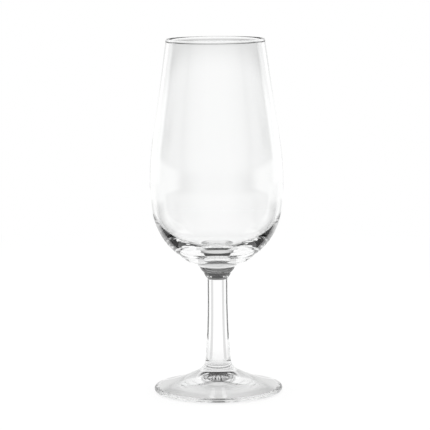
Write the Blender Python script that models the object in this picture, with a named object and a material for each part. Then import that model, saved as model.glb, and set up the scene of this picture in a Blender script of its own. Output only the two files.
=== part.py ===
"""Stemmed tasting glass of about 12 cl, made of five gathers of clear glass fused end to end.

An egg-shaped blown bowl narrows to a fire-polished lip with a small bead inside. Under its
thick base, rounded rings step down to a solid round stem: the merese, then the two rings of
the knop. The stem spreads into a round foot that is hollow underneath.
Metres, +Z up. The origin is the centre of the ring that the foot rests on.
"""

import math

import bmesh
import bpy

MM = 0.001

# Overall sizes.
HEIGHT = 138.0 * MM
RIM_DIAMETER = 38.4 * MM
BELLY_DIAMETER = 51.9 * MM
STEM_DIAMETER = 7.8 * MM
FOOT_DIAMETER = 50.2 * MM

# Outside of the bowl. Slopes are in degrees from the upright.
LIP_RADIUS = 0.75 * MM
WALL_SLOPE = 8.2
SHOULDER_RADIUS = 127.5 * MM
FLANK_RADIUS = 61.5 * MM
FLANK_SLOPE = 11.1
HEEL_RADIUS = 25.06 * MM
HEEL_SLOPE = 50.4

# Inside of the bowl: the lip's bead, then a thin wall over a heel and a base of more glass.
BEAD_UNDERCUT = 40.0
BEAD_FILLET = 0.4 * MM
BELLY_WALL = 1.3 * MM
INNER_FLANK_RADIUS = 66.2 * MM
INNER_FLANK_SLOPE = 9.2
INNER_HEEL_RADIUS = 18.0 * MM
INNER_HEEL_SLOPE = 86.3

# Rings between bowl and stem. Each swells from a first slope to a last one and ends at a
# diameter; sharp creases part the rings, and a small corner meets the stem.
BASE_SLOPE = 55.7
BASE_END_DIAMETER = 30.1 * MM
MERESE_SLOPES = (48.6, 70.7)
MERESE_END_DIAMETER = 14.2 * MM
KNOP_SLOPES = (16.7, 46.8)
KNOP_END_DIAMETER = 11.46 * MM
COLLAR_SLOPES = (24.1, 40.0)
CREASE_RADIUS = 0.25 * MM
CORNER_RADIUS = 0.4 * MM

# The stem's slow spread.
STEM_SPREAD_RADIUS = 335.0 * MM
STEM_SPREAD = 4.4

# Top of the foot: a tight ankle curve, a shallow dish, a straight slope and a rounded edge.
ANKLE_RADIUS = 5.4 * MM
ANKLE_SLOPE = 62.1
DISH_RADIUS = 67.8 * MM
FOOT_SLOPE = 76.9
EDGE_TOP_RADIUS = 0.8 * MM
EDGE_LOW_RADIUS = 1.2 * MM

# Underside of the foot: a resting ring and a shallow, all but straight-sided hollow that ends in
# a rounded crown under the stem. Its slopes are in degrees from level.
REST_RING_WIDTH = 1.2 * MM
RING_FILLET = 0.6 * MM
HOLLOW_ENTRY = 14.0
HOLLOW_STEEPEST = 16.0
CROWN_DIAMETER = 12.0 * MM

# Heights of the fused joints, and the clearance and eased arris at each of them.
MERESE_TOP = 54.1 * MM
KNOP_TOP = 49.4 * MM
STEM_TOP = 44.4 * MM
FOOT_TOP = 12.5 * MM
WELD_GAP = 0.3 * MM
WELD_EASE = 0.25 * MM

# Fineness of the turned shapes.
TURN_STEPS = 48
SAG = 0.03 * MM
LARGEST_STEP = 22.5

# Clear soda-lime glass with the faint grey of its thickness: colour, roughness.
BOWL_GLASS = ((0.93, 0.95, 0.95), 0.02)
MERESE_GLASS = ((0.90, 0.92, 0.92), 0.03)
KNOP_GLASS = ((0.88, 0.91, 0.91), 0.03)
STEM_GLASS = ((0.92, 0.94, 0.94), 0.03)
FOOT_GLASS = ((0.90, 0.92, 0.92), 0.04)
GLASS_IOR = 1.52


class Pen:
    """Draws an outline of (radius, height) points from straight runs and round bends.

    The heading is in degrees from straight down. A positive heading leans towards the axis.
    """

    def __init__(self, radius, height, heading):
        self.radius = radius
        self.height = height
        self.heading = heading
        self.points = [(radius, height)]

    def run_to_radius(self, radius):
        lean = math.radians(self.heading)
        self.height -= (self.radius - radius) / math.tan(lean)
        self.radius = radius
        self.points.append((self.radius, self.height))

    def bend(self, bend_radius, heading):
        side = 1 if heading > self.heading else -1
        start = math.radians(self.heading)
        sweep = math.radians(heading) - start
        step = min(2 * math.acos(1 - SAG / bend_radius), math.radians(LARGEST_STEP))
        count = max(2, math.ceil(abs(sweep) / step))
        centre_radius = self.radius - side * bend_radius * math.cos(start)
        centre_height = self.height + side * bend_radius * math.sin(start)
        for i in range(1, count + 1):
            lean = start + sweep * i / count
            radius = centre_radius + side * bend_radius * math.cos(lean)
            height = centre_height - side * bend_radius * math.sin(lean)
            self.points.append((radius, height))
        self.radius, self.height = self.points[-1]
        self.heading = heading

    def bend_to_radius(self, radius, heading):
        """A bend that comes to a radius just as it comes to a heading."""
        start, end = (math.cos(math.radians(lean)) for lean in (self.heading, heading))
        self.bend((self.radius - radius) / (start - end), heading)


def bend_reach(bend_radius, slope):
    """How far a bend from the given slope to the upright moves sideways."""
    return bend_radius * (1 - math.cos(math.radians(slope)))


def bowl_outside():
    """Outer outline from the top of the lip, over belly, heel and rings, down to the stem."""
    pen = Pen(RIM_DIAMETER / 2 - LIP_RADIUS, HEIGHT, -90)
    pen.bend(LIP_RADIUS, -WALL_SLOPE)
    pen.run_to_radius(BELLY_DIAMETER / 2 - bend_reach(SHOULDER_RADIUS, WALL_SLOPE))
    pen.bend(SHOULDER_RADIUS, 0)
    pen.bend(FLANK_RADIUS, FLANK_SLOPE)
    pen.bend(HEEL_RADIUS, HEEL_SLOPE)
    pen.bend_to_radius(BASE_END_DIAMETER / 2, BASE_SLOPE)
    stem_corner = STEM_DIAMETER / 2 + bend_reach(CORNER_RADIUS, COLLAR_SLOPES[1])
    ends = (MERESE_END_DIAMETER / 2, KNOP_END_DIAMETER / 2, stem_corner)
    for (first, last), end in zip((MERESE_SLOPES, KNOP_SLOPES, COLLAR_SLOPES), ends):
        pen.bend(CREASE_RADIUS, first)
        pen.bend_to_radius(end, last)
    pen.bend(CORNER_RADIUS, 0)
    return pen.points


def bowl_inside():
    """Inner outline from the top of the lip down to the middle of the bowl's floor."""
    pen = Pen(RIM_DIAMETER / 2 - LIP_RADIUS, HEIGHT, 90)
    pen.bend(LIP_RADIUS, -WALL_SLOPE - BEAD_UNDERCUT)
    pen.bend(BEAD_FILLET, -WALL_SLOPE)
    inner_belly = BELLY_DIAMETER / 2 - BELLY_WALL
    pen.run_to_radius(inner_belly - bend_reach(SHOULDER_RADIUS, WALL_SLOPE))
    pen.bend(SHOULDER_RADIUS, 0)
    pen.bend(INNER_FLANK_RADIUS, INNER_FLANK_SLOPE)
    pen.bend(INNER_HEEL_RADIUS, INNER_HEEL_SLOPE)
    floor_radius = pen.radius / math.cos(math.radians(INNER_HEEL_SLOPE))
    pen.bend(floor_radius, 90)
    return pen.points[:-1] + [(0.0, pen.height)]


def foot_outside():
    """Outer outline from the straight stem, over the foot's edge, to the resting ring at zero."""
    pen = Pen(STEM_DIAMETER / 2, 0, 0)
    pen.bend(STEM_SPREAD_RADIUS, -STEM_SPREAD)
    pen.bend(ANKLE_RADIUS, -ANKLE_SLOPE)
    pen.bend(DISH_RADIUS, -FOOT_SLOPE)
    pen.run_to_radius(FOOT_DIAMETER / 2 - bend_reach(EDGE_TOP_RADIUS, FOOT_SLOPE))
    pen.bend(EDGE_TOP_RADIUS, 0)
    pen.bend(EDGE_LOW_RADIUS, 90)
    return [(radius, height - pen.height) for radius, height in pen.points]


def foot_underside():
    """Outline from the resting ring, up the shallow hollow, to its rounded crown on the axis."""
    level = 90
    rise_in, rise_out = (math.sin(math.radians(slope)) for slope in (HOLLOW_ENTRY, HOLLOW_STEEPEST))
    pen = Pen(FOOT_DIAMETER / 2 - EDGE_LOW_RADIUS - REST_RING_WIDTH, 0.0, level)
    pen.bend(RING_FILLET, level + HOLLOW_ENTRY)
    pen.bend((pen.radius - CROWN_DIAMETER / 2) / (rise_out - rise_in), level + HOLLOW_STEEPEST)
    pen.bend(pen.radius / rise_out, level)
    return pen.points[:-1] + [(0.0, pen.height)]


def radius_at(outline, height):
    """Radius of a falling outline at a height."""
    for (r0, z0), (r1, z1) in zip(outline, outline[1:]):
        if z0 > z1 and z0 >= height >= z1:
            return r0 + (r1 - r0) * (z0 - height) / (z0 - z1)


def between(outline, top, bottom, top_ease=0.0, bottom_ease=0.0):
    """The stretch of a falling outline between two heights, with its end arrises eased."""
    first = top - top_ease
    last = bottom + bottom_ease
    stretch = [(radius, height) for radius, height in outline if last + SAG < height < first - SAG]
    stretch = [(radius_at(outline, first), first)] + stretch + [(radius_at(outline, last), last)]
    if top_ease:
        stretch.insert(0, (stretch[0][0] - top_ease, top))
    if bottom_ease:
        stretch.append((stretch[-1][0] - bottom_ease, bottom))
    return stretch


def turned(name, outline, glass):
    """A solid of revolution about the upright axis, from an outline that starts and ends on it."""
    colour, roughness = glass
    bm = bmesh.new()
    verts = [bm.verts.new((radius, 0, height)) for radius, height in outline]
    for upper, lower in zip(verts, verts[1:]):
        bm.edges.new((upper, lower))
    bmesh.ops.spin(
        bm,
        geom=bm.verts[:] + bm.edges[:],
        cent=(0, 0, 0),
        axis=(0, 0, 1),
        angle=math.tau,
        steps=TURN_STEPS,
    )
    bmesh.ops.remove_doubles(bm, verts=bm.verts[:], dist=0.002 * MM)
    bmesh.ops.recalc_face_normals(bm, faces=bm.faces[:])
    mesh = bpy.data.meshes.new(name)
    bm.to_mesh(mesh)
    bm.free()
    mesh.shade_smooth()
    mesh.set_sharp_from_angle(angle=math.radians(30))

    material = bpy.data.materials.new(name + "_glass")
    material.use_nodes = True
    shader = material.node_tree.nodes["Principled BSDF"]
    shader.inputs["Base Color"].default_value = (*colour, 1)
    shader.inputs["Roughness"].default_value = roughness
    shader.inputs["Metallic"].default_value = 0
    shader.inputs["IOR"].default_value = GLASS_IOR
    shader.inputs["Transmission Weight"].default_value = 1
    mesh.materials.append(material)

    piece = bpy.data.objects.new(name, mesh)
    bpy.context.scene.collection.objects.link(piece)
    return piece


def solid(name, outline, top, bottom, glass):
    """A solid gather between two fused joints, with half the joint's clearance left at each end."""
    top -= WELD_GAP / 2
    bottom += WELD_GAP / 2
    side = between(outline, top, bottom, WELD_EASE, WELD_EASE)
    return turned(name, [(0.0, top)] + side + [(0.0, bottom)], glass)


for item in list(bpy.data.objects):
    bpy.data.objects.remove(item)

outside = bowl_outside() + foot_outside()

# The bowl runs from its floor up the inside, over the lip and down the outside to its base.
bowl_base = MERESE_TOP + WELD_GAP / 2
bowl_skin = between(outside, HEIGHT, bowl_base, bottom_ease=WELD_EASE)
turned("bowl", bowl_inside()[:0:-1] + bowl_skin + [(0.0, bowl_base)], BOWL_GLASS)

solid("merese", outside, MERESE_TOP, KNOP_TOP, MERESE_GLASS)
solid("knop", outside, KNOP_TOP, STEM_TOP, KNOP_GLASS)
solid("stem", outside, STEM_TOP, FOOT_TOP, STEM_GLASS)

# The foot ends on its resting ring, inside which the underside is hollow.
foot_crown = FOOT_TOP - WELD_GAP / 2
foot_skin = between(outside, foot_crown, 0.0, top_ease=WELD_EASE)
turned("foot", [(0.0, foot_crown)] + foot_skin + foot_underside(), FOOT_GLASS)
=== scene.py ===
"""Looks of the tasting glass: five gathers of clear glass on a white table.

The glass is drawn as one outline from the lip to the resting ring and cut at the
welds, so that light runs through the joined pieces as it does through fused glass.
"""
import math

import bmesh
import bpy
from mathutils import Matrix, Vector


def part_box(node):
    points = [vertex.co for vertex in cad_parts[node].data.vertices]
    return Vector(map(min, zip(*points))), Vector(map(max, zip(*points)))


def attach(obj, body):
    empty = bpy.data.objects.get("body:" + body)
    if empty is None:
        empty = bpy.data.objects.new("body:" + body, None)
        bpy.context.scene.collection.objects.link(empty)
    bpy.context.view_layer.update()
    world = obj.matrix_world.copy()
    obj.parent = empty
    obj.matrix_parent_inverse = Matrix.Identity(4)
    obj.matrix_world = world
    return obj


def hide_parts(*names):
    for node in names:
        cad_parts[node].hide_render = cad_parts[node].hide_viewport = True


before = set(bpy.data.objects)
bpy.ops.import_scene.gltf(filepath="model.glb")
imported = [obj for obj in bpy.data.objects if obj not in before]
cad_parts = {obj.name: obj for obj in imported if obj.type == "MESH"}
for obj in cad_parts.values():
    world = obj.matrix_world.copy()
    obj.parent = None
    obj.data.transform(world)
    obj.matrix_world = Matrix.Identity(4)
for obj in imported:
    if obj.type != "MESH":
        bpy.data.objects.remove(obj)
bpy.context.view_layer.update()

MM = 0.001
AXIS = Vector((0.0, 0.0, 1.0))

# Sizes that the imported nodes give, in millimetres
BOWL_LOW, BOWL_HIGH = (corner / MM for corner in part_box("bowl"))
MERESE_LOW, MERESE_HIGH = (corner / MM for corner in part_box("merese"))
KNOP_LOW, KNOP_HIGH = (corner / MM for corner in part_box("knop"))
STEM_LOW, STEM_HIGH = (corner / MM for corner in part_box("stem"))
_, FOOT_HIGH = (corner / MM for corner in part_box("foot"))
HEIGHT = BOWL_HIGH.z
BELLY_RADIUS = BOWL_HIGH.x
FOOT_RADIUS = FOOT_HIGH.x
BOWL_WELD = (BOWL_LOW.z + MERESE_HIGH.z) / 2
MERESE_WELD = (MERESE_LOW.z + KNOP_HIGH.z) / 2
KNOP_WELD = (KNOP_LOW.z + STEM_HIGH.z) / 2
FOOT_WELD = (STEM_LOW.z + FOOT_HIGH.z) / 2

# Outside of the bowl, in millimetres and degrees from straight down
RIM_RADIUS = 19.2
LIP_RADIUS = 0.75
WALL_SLOPE = 8.2
SHOULDER_RADIUS = 127.5
FLANK_RADIUS = 61.5
FLANK_SLOPE = 11.1
HEEL_RADIUS = 25.06
HEEL_SLOPE = 50.4

# Inside of the bowl, under the lip's bead
BEAD_UNDERCUT = 40.0
BEAD_FILLET = 0.4
BELLY_WALL = 1.3
INNER_FLANK_RADIUS = 66.2
INNER_FLANK_SLOPE = 9.2
INNER_HEEL_RADIUS = 18.0
INNER_HEEL_SLOPE = 86.3

# Rings between bowl and stem: first and last slope, and the radius where each ends
BASE_SLOPE = 55.7
BASE_END_RADIUS = 15.05
MERESE_SLOPES = (48.6, 70.7)
MERESE_END_RADIUS = 7.1
KNOP_SLOPES = (16.7, 46.8)
KNOP_END_RADIUS = 5.73
COLLAR_SLOPES = (24.1, 40.0)
CREASE_RADIUS = 0.25
CORNER_RADIUS = 0.4

# Stem's spread and the top of the foot
STEM_RADIUS = 3.9
STEM_SPREAD_RADIUS = 335.0
STEM_SPREAD = 4.4
ANKLE_RADIUS = 5.4
ANKLE_SLOPE = 62.1
DISH_RADIUS = 67.8
FOOT_SLOPE = 76.9
EDGE_TOP_RADIUS = 0.8
EDGE_LOW_RADIUS = 1.2

# Underside of the foot, its slopes in degrees from level
REST_RING_WIDTH = 1.2
RING_FILLET = 0.6
HOLLOW_ENTRY = 14.0
HOLLOW_STEEPEST = 16.0
CROWN_RADIUS = 6.0

# Fineness of the meshes
TURN_STEPS = 224
BEND_STEP = 2.5
RUN_STEP = 0.8
MERGE_DISTANCE = 0.002
WELD_TOLERANCE = 0.001

# Glass: its colours, and the depth of its waves and height of its scuffs in metres
GLASS_IOR = 1.52
FAINT_GREEN = (0.995, 1.0, 0.998, 1.0)
COLOURLESS = (1.0, 1.0, 1.0, 1.0)
CLEAR_ROUGHNESS = 0.004
HAZE_ROUGHNESS = 0.012
FOOT_ROUGHNESS = 0.006
SCUFF_ROUGHNESS = 0.12
SCUFF_HEIGHT = 0.0004
SCUFF_REACH = 0.0225
WAVE_DEPTH = 0.000004
RING_DEPTH = 0.000003
LINE_DEPTH = 0.000002
RIPPLE_DEPTH = 0.000003

# Camera
CAMERA_PLACE = Vector((0.0, -0.830, 0.1786))
CAMERA_AIM = Vector((-0.00073, 0.0, 0.069418))
CAMERA_LENS = 180.067
CAMERA_ROLL = -0.52
SENSOR_WIDTH = 36.0
CLIP_END = 20.0

# Studio, in metres and in degrees from straight behind the glass. A pair is where a fade begins
# and ends: a reach from the glass, a turn as the cosine of the angle to the front or back (its
# square for the gap), or a rise as the sine of the height above level.
TABLE_RADIUS = 0.75
TABLE_DROP = 0.0002
# Painted shadow of the glass on the table under the foot, seen only through the glass: its grey and
# reach
FOOT_SHADOW_GREY = 0.93
FOOT_SHADOW_REACH = (0.05, 0.07)
RUN_ANGLE = 25.0
RUN_LENGTH = 4.0
# Painted falloff of light on the run far behind the glass, seen only through the glass: its grey and
# reach
RUN_FALLOFF_GREY = 0.82
RUN_FALLOFF_REACH = (1.9, 3.0)
TABLE_PAINT = (0.9, 0.9, 0.9, 1.0)
TABLE_LIT_SHARE = 0.12
TABLE_LIT_REACH = (0.15, 0.45)
SOFTBOX_REACH = 0.76
SOFTBOX_ANGLES = (22.5, 64.0)
SOFTBOX_RISE = 47.0
SOFTBOX_WHITE = 1.06
SIDE_CARD_ANGLES = (50.0, 180.0)
SIDE_CARD_REACH = (0.07, 0.76)
SIDE_CARD_GREY = 0.03
SIDE_FAR_GREY = 0.85
SIDE_FAR_REACH = (0.3, 0.45)
SIDE_FAR_TURN = (0.1, 0.5)
SIDE_GAP_TURN = (0.0, 0.12)
SIDE_GAP_REACH = (0.1, 0.2)
FRONT_CARD_GREY = 0.85
FRONT_CARD_REACH = (0.4, 0.75)
FRONT_CARD_TURN = (0.0, 0.6)
BACK_CARD_ANGLES = (18.0, 30.0)
BACK_CARD_REACH = (0.03, 0.5)
BACK_CARD_GREY = 0.75
ARC_STEPS = 32
ROOM_SIDE = 0.04
ROOM_LOW_RISE = (-0.03, 0.0)
ROOM_BACK = 0.75
ROOM_BACK_TURN = (0.88, 0.97)
ROOM_BACK_RISE = (0.3, 0.4)
ROOM_FRONT = 0.62
ROOM_FRONT_TURN = (0.4, 0.97)
LAMP_SIZE = 1.6
LAMP_POWER = 40.0
LAMP_HEIGHT = 1.6


class Wire:
    """One socket of a node tree; arithmetic on it adds Math nodes."""

    def __init__(self, shading, socket):
        self.shading = shading
        self.socket = socket

    def _math(self, operation, first, second):
        return self.shading.node("Math", {"operation": operation}, {0: first, 1: second})

    def __add__(self, other):
        return self._math("ADD", self, other)

    def __radd__(self, other):
        return self._math("ADD", other, self)

    def __rsub__(self, other):
        return self._math("SUBTRACT", other, self)

    def __mul__(self, other):
        return self._math("MULTIPLY", self, other)

    def __rmul__(self, other):
        return self._math("MULTIPLY", other, self)

    def __pow__(self, other):
        return self._math("POWER", self, other)

    def more_than(self, other):
        return self._math("GREATER_THAN", self, other)

    def or_more(self, other):
        return self._math("MAXIMUM", self, other)


class Shading:
    """The node tree of a material or world, and the one way to add a node to it."""

    def __init__(self, owner):
        owner.use_nodes = True
        self.tree = owner.node_tree
        self.tree.nodes.clear()

    def node(self, kind, settings=None, sockets=None, out=0):
        made = self.tree.nodes.new("ShaderNode" + kind)
        for name, value in (settings or {}).items():
            setattr(made, name, value)
        for name, value in (sockets or {}).items():
            if isinstance(value, Wire):
                self.tree.links.new(value.socket, made.inputs[name])
            else:
                made.inputs[name].default_value = value
        return Wire(self, made.outputs[out] if made.outputs else None)

    def place(self):
        """Object coordinates of the shaded point, in metres."""
        return self.node("TexCoord", out="Object")

    def stretched(self, place, stretch):
        return self.node("VectorMath", {"operation": "MULTIPLY"}, {0: place, 1: stretch})

    def noise(self, place, scale, detail=2.0):
        return self.node("TexNoise", {}, {"Vector": place, "Scale": scale, "Detail": detail})

    def tint(self, share):
        """Clear glass with a trace of green where the share is low."""
        return self.node("Mix", {"data_type": "RGBA"}, {
            "Factor": share, "A": FAINT_GREEN, "B": COLOURLESS}, out=2)

    def parts(self, place):
        """The x, y and z of a vector, each as a value."""
        split = self.node("SeparateXYZ", {}, {0: place}).socket.node
        return [Wire(self, output) for output in split.outputs]

    def fade(self, value, near, far):
        """1 up to the near value, falling to 0 at the far one."""
        return self.node("MapRange", {"interpolation_type": "SMOOTHSTEP"}, {
            "Value": value, "From Min": near, "From Max": far, "To Min": 1.0, "To Max": 0.0})

    def ray(self, kind):
        """1 for rays of a kind, such as Camera, Glossy or Transmission."""
        return self.node("LightPath", out="Is " + kind + " Ray")


class Pen:
    """Draws an outline of straight runs and round bends, in millimetres.

    A heading is in degrees from straight down, and positive towards the axis.
    """

    def __init__(self, radius, height, heading):
        self.radius = radius
        self.height = height
        self.heading = heading
        self.points = [(radius, height)]

    def run_to_radius(self, radius):
        drop = (self.radius - radius) / math.tan(math.radians(self.heading))
        steps = max(1, math.ceil(math.hypot(radius - self.radius, drop) / RUN_STEP))
        start = self.points[-1]
        for step in range(1, steps + 1):
            part = step / steps
            self.points.append((start[0] + (radius - start[0]) * part, start[1] - drop * part))
        self.radius, self.height = self.points[-1]

    def bend(self, bend_radius, heading):
        side = 1.0 if heading > self.heading else -1.0
        start = math.radians(self.heading)
        turn = math.radians(heading) - start
        centre_radius = self.radius - side * bend_radius * math.cos(start)
        centre_height = self.height + side * bend_radius * math.sin(start)
        steps = max(math.ceil(abs(heading - self.heading) / BEND_STEP),
                    math.ceil(abs(turn) * bend_radius / RUN_STEP))
        for step in range(1, steps + 1):
            lean = start + turn * step / steps
            self.points.append((centre_radius + side * bend_radius * math.cos(lean),
                                centre_height - side * bend_radius * math.sin(lean)))
        self.radius, self.height = self.points[-1]
        self.heading = heading

    def bend_to_radius(self, radius, heading):
        """A bend that comes to a radius just as it comes to a heading."""
        start, end = (math.cos(math.radians(lean)) for lean in (self.heading, heading))
        self.bend((self.radius - radius) / (start - end), heading)


def bend_reach(bend_radius, slope):
    """How far a bend from straight down to a slope moves sideways."""
    return bend_radius * (1.0 - math.cos(math.radians(slope)))


def bowl_outside():
    """From the top of the lip, over the heel and the rings, down to the bare stem."""
    pen = Pen(RIM_RADIUS - LIP_RADIUS, HEIGHT, -90.0)
    pen.bend(LIP_RADIUS, -WALL_SLOPE)
    pen.run_to_radius(BELLY_RADIUS - bend_reach(SHOULDER_RADIUS, WALL_SLOPE))
    pen.bend(SHOULDER_RADIUS, 0.0)
    pen.bend(FLANK_RADIUS, FLANK_SLOPE)
    pen.bend(HEEL_RADIUS, HEEL_SLOPE)
    pen.bend_to_radius(BASE_END_RADIUS, BASE_SLOPE)
    stem_corner = STEM_RADIUS + bend_reach(CORNER_RADIUS, COLLAR_SLOPES[1])
    ends = (MERESE_END_RADIUS, KNOP_END_RADIUS, stem_corner)
    for (first, last), end in zip((MERESE_SLOPES, KNOP_SLOPES, COLLAR_SLOPES), ends):
        pen.bend(CREASE_RADIUS, first)
        pen.bend_to_radius(end, last)
    pen.bend(CORNER_RADIUS, 0.0)
    return pen.points


def bowl_inside():
    """From the top of the lip, under its bead, down to the middle of the floor."""
    pen = Pen(RIM_RADIUS - LIP_RADIUS, HEIGHT, 90.0)
    pen.bend(LIP_RADIUS, -WALL_SLOPE - BEAD_UNDERCUT)
    pen.bend(BEAD_FILLET, -WALL_SLOPE)
    belly = BELLY_RADIUS - BELLY_WALL
    pen.run_to_radius(belly - bend_reach(SHOULDER_RADIUS, WALL_SLOPE))
    pen.bend(SHOULDER_RADIUS, 0.0)
    pen.bend(INNER_FLANK_RADIUS, INNER_FLANK_SLOPE)
    pen.bend(INNER_HEEL_RADIUS, INNER_HEEL_SLOPE)
    pen.bend(pen.radius / math.cos(math.radians(INNER_HEEL_SLOPE)), 90.0)
    pen.points[-1] = (0.0, pen.height)
    return pen.points


def foot_outside():
    """From the bare stem down to the outer edge of the resting ring."""
    pen = Pen(STEM_RADIUS, 0.0, 0.0)
    pen.bend(STEM_SPREAD_RADIUS, -STEM_SPREAD)
    pen.bend(ANKLE_RADIUS, -ANKLE_SLOPE)
    pen.bend(DISH_RADIUS, -FOOT_SLOPE)
    pen.run_to_radius(FOOT_RADIUS - bend_reach(EDGE_TOP_RADIUS, FOOT_SLOPE))
    pen.bend(EDGE_TOP_RADIUS, 0.0)
    pen.bend(EDGE_LOW_RADIUS, 90.0)
    return [(radius, height - pen.height) for radius, height in pen.points]


def foot_underside():
    """From the resting ring's outer edge, up the shallow hollow, to its crown on the axis."""
    level = 90.0
    rise_in, rise_out = (math.sin(math.radians(slope)) for slope in (HOLLOW_ENTRY, HOLLOW_STEEPEST))
    pen = Pen(FOOT_RADIUS - EDGE_LOW_RADIUS - REST_RING_WIDTH, 0.0, level)
    pen.bend(RING_FILLET, level + HOLLOW_ENTRY)
    pen.bend((pen.radius - CROWN_RADIUS) / (rise_out - rise_in), level + HOLLOW_STEEPEST)
    pen.bend(pen.radius / rise_out, level)
    pen.points[-1] = (0.0, pen.height)
    return pen.points


def radius_at(outline, height):
    for (r0, z0), (r1, z1) in zip(outline, outline[1:]):
        if z0 > z1 and z0 >= height >= z1:
            return r0 + (r1 - r0) * (z0 - height) / (z0 - z1)
    raise ValueError("the outline has no point at height %g" % height)


def between(outline, top, bottom):
    """The stretch of a falling outline from one weld to the next, ends included."""
    inner = [point for point in outline if top > point[1] > bottom]
    return [(radius_at(outline, top), top), *inner, (radius_at(outline, bottom), bottom)]


def turned(name, outline, welds, glass, weld_plane):
    """Turns an outline, drawn from axis to axis, into a closed piece of glass."""
    shape = bmesh.new()
    points = [shape.verts.new((radius * MM, 0.0, height * MM)) for radius, height in outline]
    edges = [shape.edges.new(pair) for pair in zip(points, points[1:])]
    bmesh.ops.spin(shape, geom=points + edges, cent=(0.0, 0.0, 0.0), axis=AXIS,
                   angle=math.tau, steps=TURN_STEPS, use_merge=True, use_duplicate=False)
    bmesh.ops.remove_doubles(shape, verts=shape.verts, dist=MERGE_DISTANCE * MM)
    bmesh.ops.recalc_face_normals(shape, faces=shape.faces)
    for face in shape.faces:
        face.smooth = True
        heights = [corner.co.z / MM for corner in face.verts]
        if any(all(abs(height - weld) < WELD_TOLERANCE for height in heights) for weld in welds):
            face.material_index = 1
            face.smooth = False
    for edge in shape.edges:
        edge.smooth = len({face.material_index for face in edge.link_faces}) == 1
    mesh = bpy.data.meshes.new(name)
    shape.to_mesh(mesh)
    shape.free()
    mesh.materials.append(glass)
    mesh.materials.append(weld_plane)
    piece = bpy.data.objects.new(name, mesh)
    bpy.context.scene.collection.objects.link(piece)
    return piece


def principled(colour, roughness, height, depth):
    """Clear glass whose colour, roughness and surface waves come from nodes."""
    shading = colour.shading
    bump = shading.node("Bump", {}, {"Strength": 1.0, "Distance": depth, "Height": height})
    body = shading.node("BsdfPrincipled", {}, {
        "Base Color": colour, "Roughness": roughness, "Normal": bump,
        "IOR": GLASS_IOR, "Transmission Weight": 1.0})
    shading.node("OutputMaterial", {}, {"Surface": body})


def blown_glass():
    """Bowl: slow waves left by blowing, drawn out along the wall."""
    material = bpy.data.materials.new("blown_glass")
    shading = Shading(material)
    place = shading.place()
    waves = shading.noise(shading.stretched(place, (1.0, 1.0, 0.35)), scale=70.0, detail=1.0)
    haze = shading.noise(place, scale=260.0)
    principled(shading.tint(waves), CLEAR_ROUGHNESS + HAZE_ROUGHNESS * haze, waves, WAVE_DEPTH)
    return material


def collar_glass(name):
    """Merese and knop: rings left where the gather was pinched."""
    material = bpy.data.materials.new(name)
    shading = Shading(material)
    place = shading.place()
    rings = shading.noise(shading.stretched(place, (0.2, 0.2, 1.0)), scale=900.0, detail=1.0)
    haze = shading.noise(place, scale=400.0)
    principled(shading.tint(rings), CLEAR_ROUGHNESS + HAZE_ROUGHNESS * haze, rings, RING_DEPTH)
    return material


def drawn_glass():
    """Stem: fine lines along the pull."""
    material = bpy.data.materials.new("drawn_glass")
    shading = Shading(material)
    place = shading.place()
    lines = shading.noise(shading.stretched(place, (1.0, 1.0, 0.04)), scale=900.0)
    haze = shading.noise(place, scale=400.0)
    principled(shading.tint(lines), CLEAR_ROUGHNESS + HAZE_ROUGHNESS * haze, lines, LINE_DEPTH)
    return material


def pressed_foot_glass():
    """Foot: faint turning ripples, and scuffs where the ring stands on tables."""
    material = bpy.data.materials.new("pressed_foot_glass")
    shading = Shading(material)
    place = shading.place()
    x, y, z = shading.parts(place)
    reach = (x * x + y * y) ** 0.5
    ripples = shading.node("TexWave", {"wave_type": "RINGS", "rings_direction": "Z"}, {
        "Vector": place, "Scale": 60.0, "Distortion": 1.5, "Detail": 1.0})
    standing = (SCUFF_HEIGHT - z).more_than(0.0) * reach.more_than(SCUFF_REACH)
    scuffs = shading.noise(place, scale=4000.0, detail=3.0) * standing
    principled(shading.tint(ripples), FOOT_ROUGHNESS + SCUFF_ROUGHNESS * scuffs, ripples, RIPPLE_DEPTH)
    return material


def weld_plane_glass():
    """The plane inside fused glass where two gathers meet, which nobody sees."""
    material = bpy.data.materials.new("weld_plane")
    shading = Shading(material)
    body = shading.node("BsdfPrincipled", {}, {"Alpha": 0.0})
    shading.node("OutputMaterial", {}, {"Surface": body})
    return material


def build_glass():
    outside = bowl_outside() + foot_outside()
    inside = bowl_inside()
    weld_plane = weld_plane_glass()
    lip_to_weld = between(outside, HEIGHT, BOWL_WELD)
    foot_wall = between(outside, FOOT_WELD, 0.0)
    outlines = {
        "bowl": [*reversed(inside), *lip_to_weld[1:], (0.0, BOWL_WELD)],
        "merese": [(0.0, BOWL_WELD), *between(outside, BOWL_WELD, MERESE_WELD), (0.0, MERESE_WELD)],
        "knop": [(0.0, MERESE_WELD), *between(outside, MERESE_WELD, KNOP_WELD), (0.0, KNOP_WELD)],
        "stem": [(0.0, KNOP_WELD), *between(outside, KNOP_WELD, FOOT_WELD), (0.0, FOOT_WELD)],
        "foot": [(0.0, FOOT_WELD), *foot_wall, *foot_underside()],
    }
    welds = {"bowl": [BOWL_WELD], "merese": [BOWL_WELD, MERESE_WELD],
             "knop": [MERESE_WELD, KNOP_WELD], "stem": [KNOP_WELD, FOOT_WELD],
             "foot": [FOOT_WELD]}
    glasses = {"bowl": blown_glass(), "merese": collar_glass("merese_glass"),
               "knop": collar_glass("knop_glass"), "stem": drawn_glass(),
               "foot": pressed_foot_glass()}
    for node, outline in outlines.items():
        piece = turned(node + "_clear", outline, welds[node], glasses[node], weld_plane)
        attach(piece, "root")
        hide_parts(node)
        node + "_glass"


def staged(name, shape, material):
    mesh = bpy.data.meshes.new(name)
    shape.to_mesh(mesh)
    shape.free()
    mesh.materials.append(material)
    thing = bpy.data.objects.new(name, mesh)
    bpy.context.scene.collection.objects.link(thing)
    return thing


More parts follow.
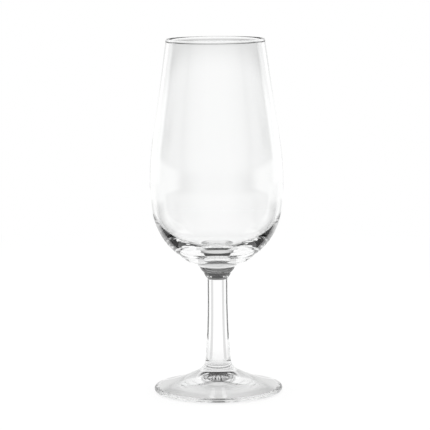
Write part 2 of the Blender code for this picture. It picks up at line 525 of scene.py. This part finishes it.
def glow(shading, grey, over=(), kind="Emission"):
    """Plain light of one grey; over it, others by share, each over the ones before."""
    tone = shading.node(kind, {}, {"Color": (grey, grey, grey, 1.0), "Strength": 1.0})
    for share, other in over:
        tone = shading.node("MixShader", {}, {0: share, 1: tone, 2: glow(shading, other, kind=kind)})
    return tone


def table_paint():
    """White table: plain white to the camera, with painted shade in what the glass shows of it.

    Through the glass it greys as painted shade: a shadow under the foot and a falloff of light
    far behind. Close to the glass a share of its white is real light, which keeps the shadow.
    """
    material = bpy.data.materials.new("table_paint")
    shading = Shading(material)
    x, y, _ = shading.parts(shading.place())
    reach = (x * x + y * y) ** 0.5
    through = shading.ray("Transmission")
    # Painted shadow of the glass under the foot, only for rays through the glass
    under = through * shading.fade(reach, *FOOT_SHADOW_REACH)
    # Painted falloff of light far behind, only for rays through the glass
    behind = through * (1.0 - shading.fade(reach, *RUN_FALLOFF_REACH))
    tone = glow(shading, 1.0, ((under, FOOT_SHADOW_GREY), (behind, RUN_FALLOFF_GREY)))
    paint = shading.node("BsdfDiffuse", {}, {"Color": TABLE_PAINT})
    lit = TABLE_LIT_SHARE * shading.fade(reach, *TABLE_LIT_REACH)
    seen = shading.ray("Camera").or_more(shading.ray("Glossy")).or_more(through)
    looks = (1.0 - lit) * seen
    mixed = shading.node("MixShader", {}, {0: looks, 1: paint, 2: tone})
    shading.node("OutputMaterial", {}, {"Surface": mixed})
    return material


def card_paint(name, grey):
    material = bpy.data.materials.new(name)
    shading = Shading(material)
    shading.node("OutputMaterial", {}, {"Surface": glow(shading, grey)})
    return material


def strip(rows):
    """A surface between two rows of points."""
    shape = bmesh.new()
    low, high = ([shape.verts.new(point) for point in row] for row in rows)
    for corner in zip(low, low[1:], high[1:], high):
        shape.faces.new(corner)
    return shape


def arc(reach, angles, height, side):
    """Points on a level arc round the glass, the angles counted from straight behind it."""
    first, last = (math.radians(angle) for angle in angles)
    turns = [first + (last - first) * step / ARC_STEPS for step in range(ARC_STEPS + 1)]
    return [(side * reach * math.sin(turn), reach * math.cos(turn), height) for turn in turns]


def build_table():
    """A round table, and a run of the same white that goes back between the softboxes."""
    edge = arc(TABLE_RADIUS, (RUN_ANGLE, 360.0 - RUN_ANGLE), -TABLE_DROP, 1.0)
    far = arc(RUN_LENGTH, (-RUN_ANGLE, RUN_ANGLE), -TABLE_DROP, 1.0)
    shape = bmesh.new()
    shape.faces.new([shape.verts.new(corner) for corner in edge + far])
    bmesh.ops.triangulate(shape, faces=shape.faces)
    staged("table", shape, table_paint())


def build_softboxes():
    """Two tall white softboxes at the back corners, out of the camera's sight."""
    white = card_paint("softbox_cloth", SOFTBOX_WHITE)
    top = SOFTBOX_REACH * math.tan(math.radians(SOFTBOX_RISE))
    for name, side in (("left", -1.0), ("right", 1.0)):
        shape = strip([arc(SOFTBOX_REACH, SOFTBOX_ANGLES, height, side)
                       for height in (-TABLE_DROP, top)])
        staged("softbox_" + name, shape, white).visible_camera = False


def side_card_paint():
    """Dark close beside the glass, and light farther out and in a gap straight across.

    In front of the glass it is lighter where it is near.
    """
    material = bpy.data.materials.new("side_card")
    shading = Shading(material)
    x, y, _ = shading.parts(shading.place())
    reach = (x * x + y * y) ** 0.5
    turn = -1.0 * y * reach ** -1.0
    ahead = 1.0 - shading.fade(turn, *ROOM_FRONT_TURN)
    near = (1.0 - shading.fade(turn, *FRONT_CARD_TURN)) * shading.fade(reach, *FRONT_CARD_REACH)
    far = (1.0 - shading.fade(reach, *SIDE_FAR_REACH)) * shading.fade(turn, *SIDE_FAR_TURN)
    gap = shading.fade(turn * turn, *SIDE_GAP_TURN) * (1.0 - shading.fade(reach, *SIDE_GAP_REACH))
    tone = glow(shading, SIDE_CARD_GREY, ((ahead, ROOM_FRONT), (near, FRONT_CARD_GREY),
                                          (far, SIDE_FAR_GREY), (gap, SIDE_FAR_GREY)))
    shading.node("OutputMaterial", {}, {"Surface": tone})
    return material


def build_cards():
    """Cards laid on the table out of the camera's sight.

    Dark ones at the sides draw the thick heel of the bowl; grey ones behind draw the stem.
    """
    dark = side_card_paint()
    grey = card_paint("back_card", BACK_CARD_GREY)
    for name, side in (("left", -1.0), ("right", 1.0)):
        for kind, paint, reaches, angles in (("side", dark, SIDE_CARD_REACH, SIDE_CARD_ANGLES),
                                             ("back", grey, BACK_CARD_REACH, BACK_CARD_ANGLES)):
            shape = strip([arc(reach, angles, -TABLE_DROP / 2, side) for reach in reaches])
            card = staged(kind + "_card_" + name, shape, paint)
            card.visible_camera = card.visible_diffuse = card.visible_shadow = False


def build_room():
    """A white surround to the camera; to the glass, dim walls, lighter low down, behind and ahead."""
    world = bpy.data.worlds.new("studio")
    bpy.context.scene.world = world
    shading = Shading(world)
    _, depth, rise = shading.parts(shading.node("TexCoord", out="Generated"))
    behind = (1.0 - shading.fade(depth, *ROOM_BACK_TURN)) * shading.fade(rise, *ROOM_BACK_RISE)
    ahead = 1.0 - shading.fade(-1.0 * depth, *ROOM_FRONT_TURN)
    low = shading.fade(rise, *ROOM_LOW_RISE) * shading.fade(-1.0 * depth, *SIDE_FAR_TURN)
    over = ((low, SIDE_FAR_GREY), (behind, ROOM_BACK), (ahead, ROOM_FRONT), (shading.ray("Camera"), 1.0))
    tone = glow(shading, ROOM_SIDE, over, "Background")
    shading.node("OutputWorld", {}, {"Surface": tone})


def build_lamp():
    """A broad lamp overhead for the floor, kept out of the reflections."""
    light = bpy.data.lights.new("overhead", "AREA")
    light.shape = "DISK"
    light.size = LAMP_SIZE
    light.energy = LAMP_POWER
    lamp = bpy.data.objects.new("overhead", light)
    lamp.location = (0.0, 0.0, LAMP_HEIGHT)
    lamp.visible_glossy = False
    lamp.visible_transmission = False
    lamp.visible_camera = False
    bpy.context.scene.collection.objects.link(lamp)


def build_camera():
    data = bpy.data.cameras.new("camera")
    data.lens = CAMERA_LENS
    data.sensor_width = SENSOR_WIDTH
    data.clip_end = CLIP_END
    camera = bpy.data.objects.new("camera", data)
    turn = (CAMERA_AIM - CAMERA_PLACE).to_track_quat("-Z", "Y")
    camera.location = CAMERA_PLACE
    camera.rotation_euler = turn.to_euler()
    camera.rotation_euler.rotate_axis("Z", math.radians(CAMERA_ROLL))
    bpy.context.scene.collection.objects.link(camera)
    bpy.context.scene.camera = camera


def set_light_paths():
    """Plain view, and enough bounces for light to cross the stacked walls of the glass."""
    scene = bpy.context.scene
    scene.view_settings.view_transform = "Standard"
    scene.cycles.max_bounces = 32
    scene.cycles.transmission_bounces = 32
    scene.cycles.glossy_bounces = 24
    scene.cycles.transparent_max_bounces = 64


build_camera()
build_glass()
build_table()
build_softboxes()
build_cards()
build_room()
build_lamp()
set_light_paths()
